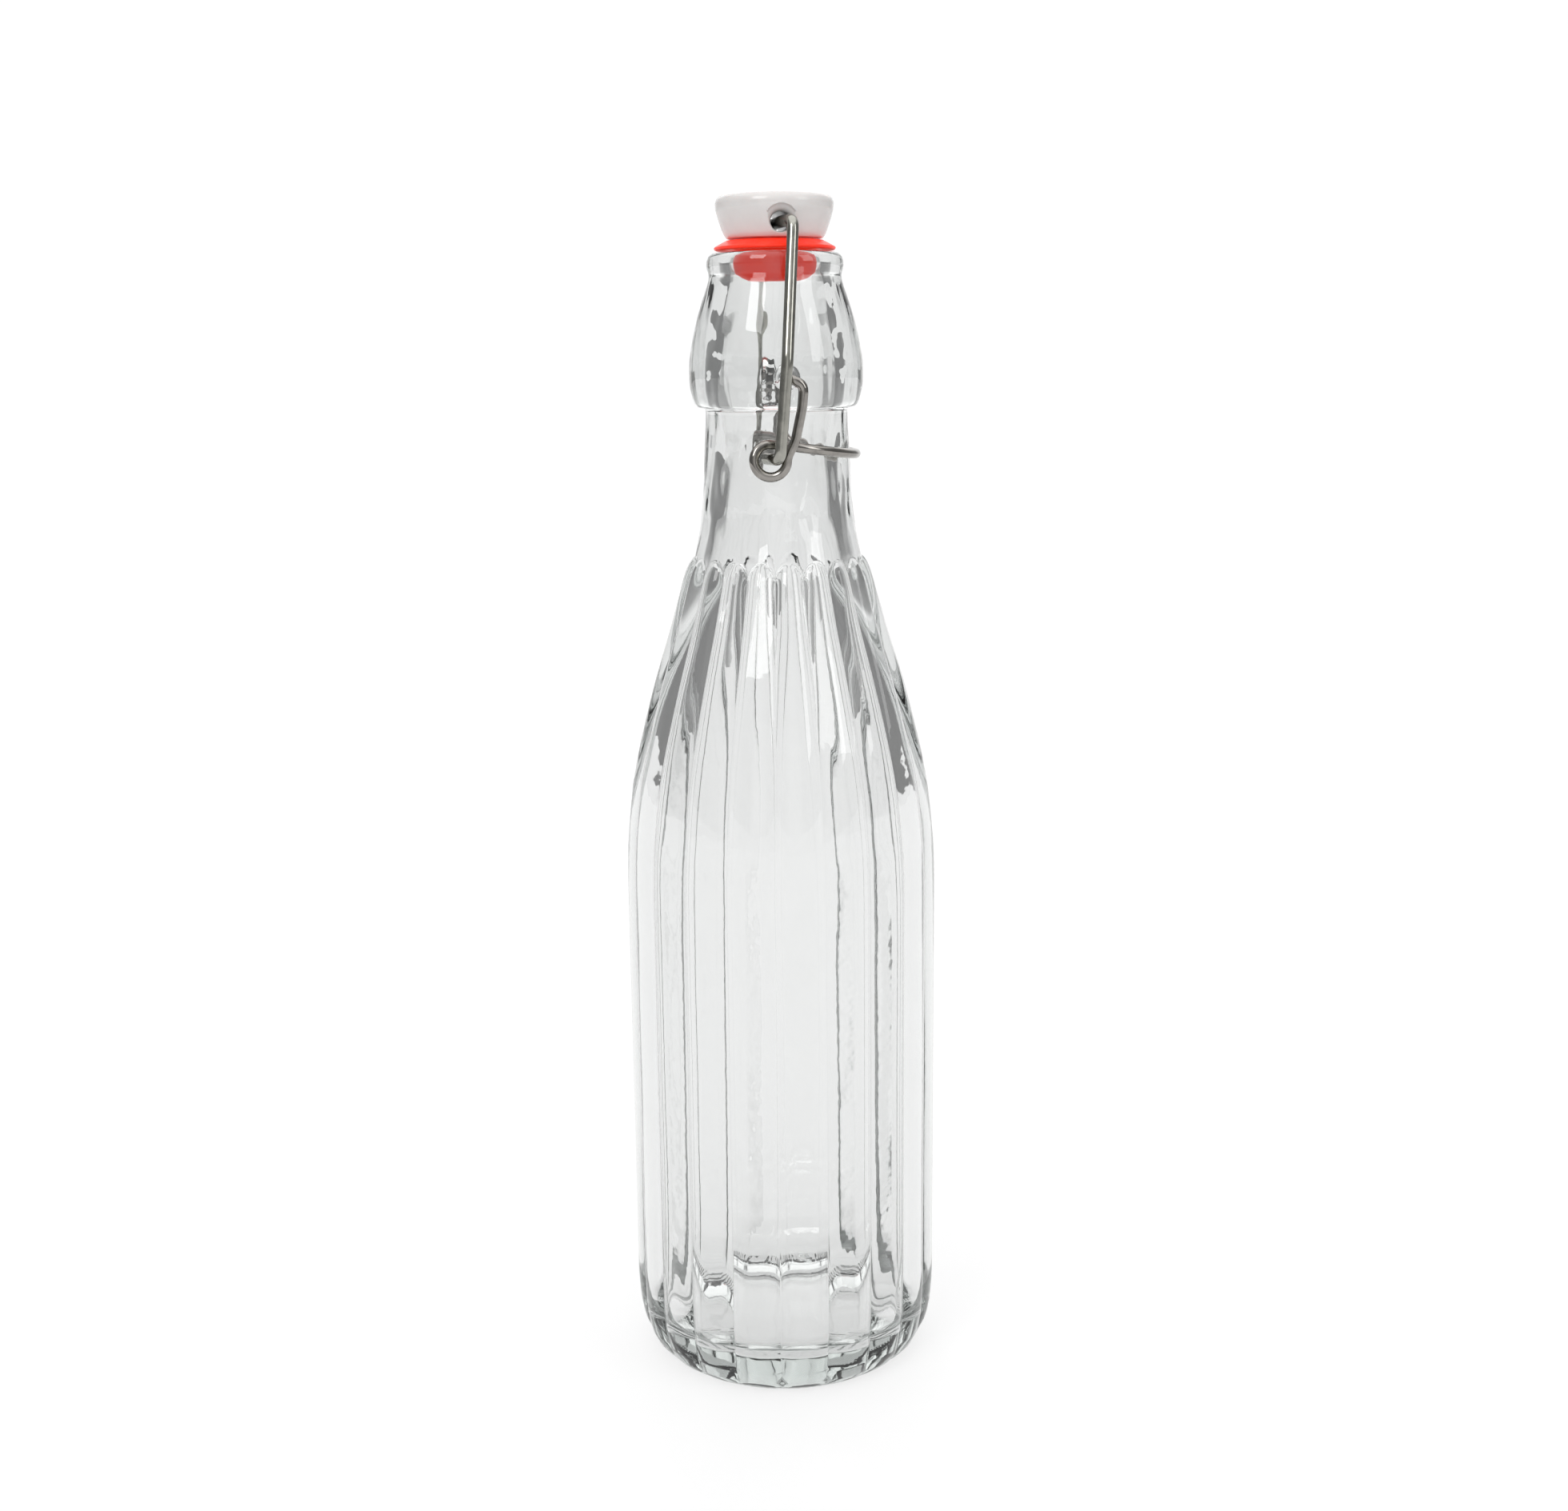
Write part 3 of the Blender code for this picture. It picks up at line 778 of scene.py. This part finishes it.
def build_world():
    """A studio lined up with the camera: white behind the bottle, bright overhead, grey to both sides."""
    world = bpy.data.worlds.new("studio")
    bpy.context.scene.world = world
    world.use_nodes = True
    tree = world.node_tree
    background = tree.nodes["Background"]
    direction = tree.nodes.new("ShaderNodeTexCoord").outputs["Generated"]
    split = tree.nodes.new("ShaderNodeSeparateXYZ")
    tree.links.new(direction, split.inputs["Vector"])
    parts = []
    for axis in (
        Vector((math.cos(CAMERA_AZIMUTH), math.sin(CAMERA_AZIMUTH), 0.0)),
        Vector((-math.sin(CAMERA_AZIMUTH), math.cos(CAMERA_AZIMUTH), 0.0)),
    ):
        dot = tree.nodes.new("ShaderNodeVectorMath")
        dot.operation = "DOT_PRODUCT"
        dot.inputs[1].default_value = axis
        tree.links.new(direction, dot.inputs[0])
        parts.append(dot.outputs["Value"])
    turn = math_node(tree, "ABSOLUTE", math_node(tree, "ARCTAN2", parts[0], parts[1]), 0.0)
    around = map_range(tree, turn, 0.0, math.pi, 0.0, 1.0)
    low = grey_ramp(tree, around, LOW_STOPS)
    band = grey_ramp(tree, around, BAND_STOPS)
    level = mix_colour(tree, map_range(tree, split.outputs["Z"], *BAND_RISE, 0.0, 1.0), low, band)
    level = mix_colour(tree, map_range(tree, split.outputs["Z"], *OVERHEAD_RISE, 0.0, 1.0), level, grey(OVERHEAD))
    tree.links.new(level, background.inputs["Color"])
    background.inputs["Strength"].default_value = 1.0


def area_light(name, place, target, size, size_y, power):
    data = bpy.data.lights.new(name, "AREA")
    data.shape = "RECTANGLE"
    data.size = size
    data.size_y = size_y
    data.energy = power
    lamp = bpy.data.objects.new(name, data)
    lamp.location = place
    lamp.rotation_euler = (Vector(target) - Vector(place)).to_track_quat("-Z", "Y").to_euler()
    bpy.context.scene.collection.objects.link(lamp)


def build_camera():
    """The photograph's camera, as worked out from its perspective."""
    data = bpy.data.cameras.new("camera")
    data.lens = CAMERA_LENS
    data.clip_start = 0.01
    camera = bpy.data.objects.new("camera", data)
    camera.location = (
        math.sin(CAMERA_AZIMUTH) * CAMERA_DISTANCE, -math.cos(CAMERA_AZIMUTH) * CAMERA_DISTANCE, CAMERA_HEIGHT
    )
    turn = Matrix.Rotation(CAMERA_AZIMUTH - CAMERA_PAN, 4, "Z")
    tilt = Matrix.Rotation(CAMERA_TILT, 4, "X")
    roll = Matrix.Rotation(CAMERA_ROLL, 4, "Z")
    camera.rotation_euler = (turn @ tilt @ roll).to_euler()
    bpy.context.scene.collection.objects.link(camera)
    bpy.context.scene.camera = camera


build_floor()
build_world()
area_light("key", (-0.9, -1.1, 1.3), (0.0, 0.0, 0.2), 0.7, 0.7, 9.0)
area_light("fill", (1.1, -0.9, 0.9), (0.0, 0.0, 0.2), 0.5, 0.9, 4.0)
build_camera()

# plain colours, and enough bounces for light to pass through both walls of the glass and the thick base
scene = bpy.context.scene
scene.view_settings.view_transform = "Standard"
scene.view_settings.look = "None"
scene.cycles.max_bounces = 28
scene.cycles.transmission_bounces = 24
scene.cycles.glossy_bounces = 10
scene.cycles.transparent_max_bounces = 16
